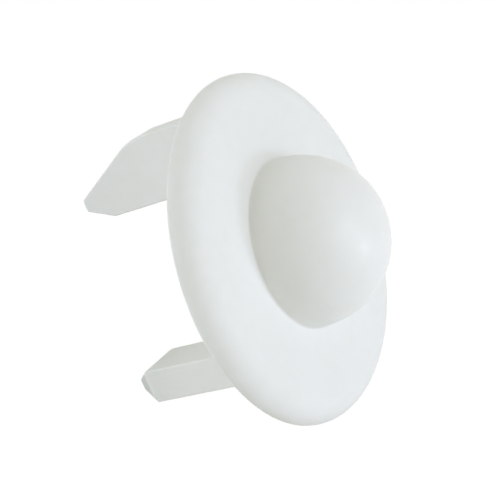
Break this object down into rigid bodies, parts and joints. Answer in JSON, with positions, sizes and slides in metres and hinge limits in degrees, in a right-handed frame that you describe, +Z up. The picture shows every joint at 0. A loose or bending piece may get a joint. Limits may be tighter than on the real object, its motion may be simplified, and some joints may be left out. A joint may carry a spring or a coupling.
{
  "type": "outlet safety cover",
  "caption": "White one-piece safety cover for a three-pin wall socket: a round flange with a dome grip on the front and rectangular blanking pins behind.",
  "frame": {"origin": "centre of the flange's back face, on the plane that lies against the socket's wall plate", "axes": "+Y along the pins into the socket, -Y towards the room and the dome, +Z up with the earth pin uppermost, +X to the right seen from the room"},
  "size_m": [0.0418, 0.0362, 0.0418],
  "materials": {
    "white_plastic": "satin moulded, slightly translucent"
  },
  "bodies": {
    "root": {"socket_cover": "white_plastic"}
  },
  "joints": []
}
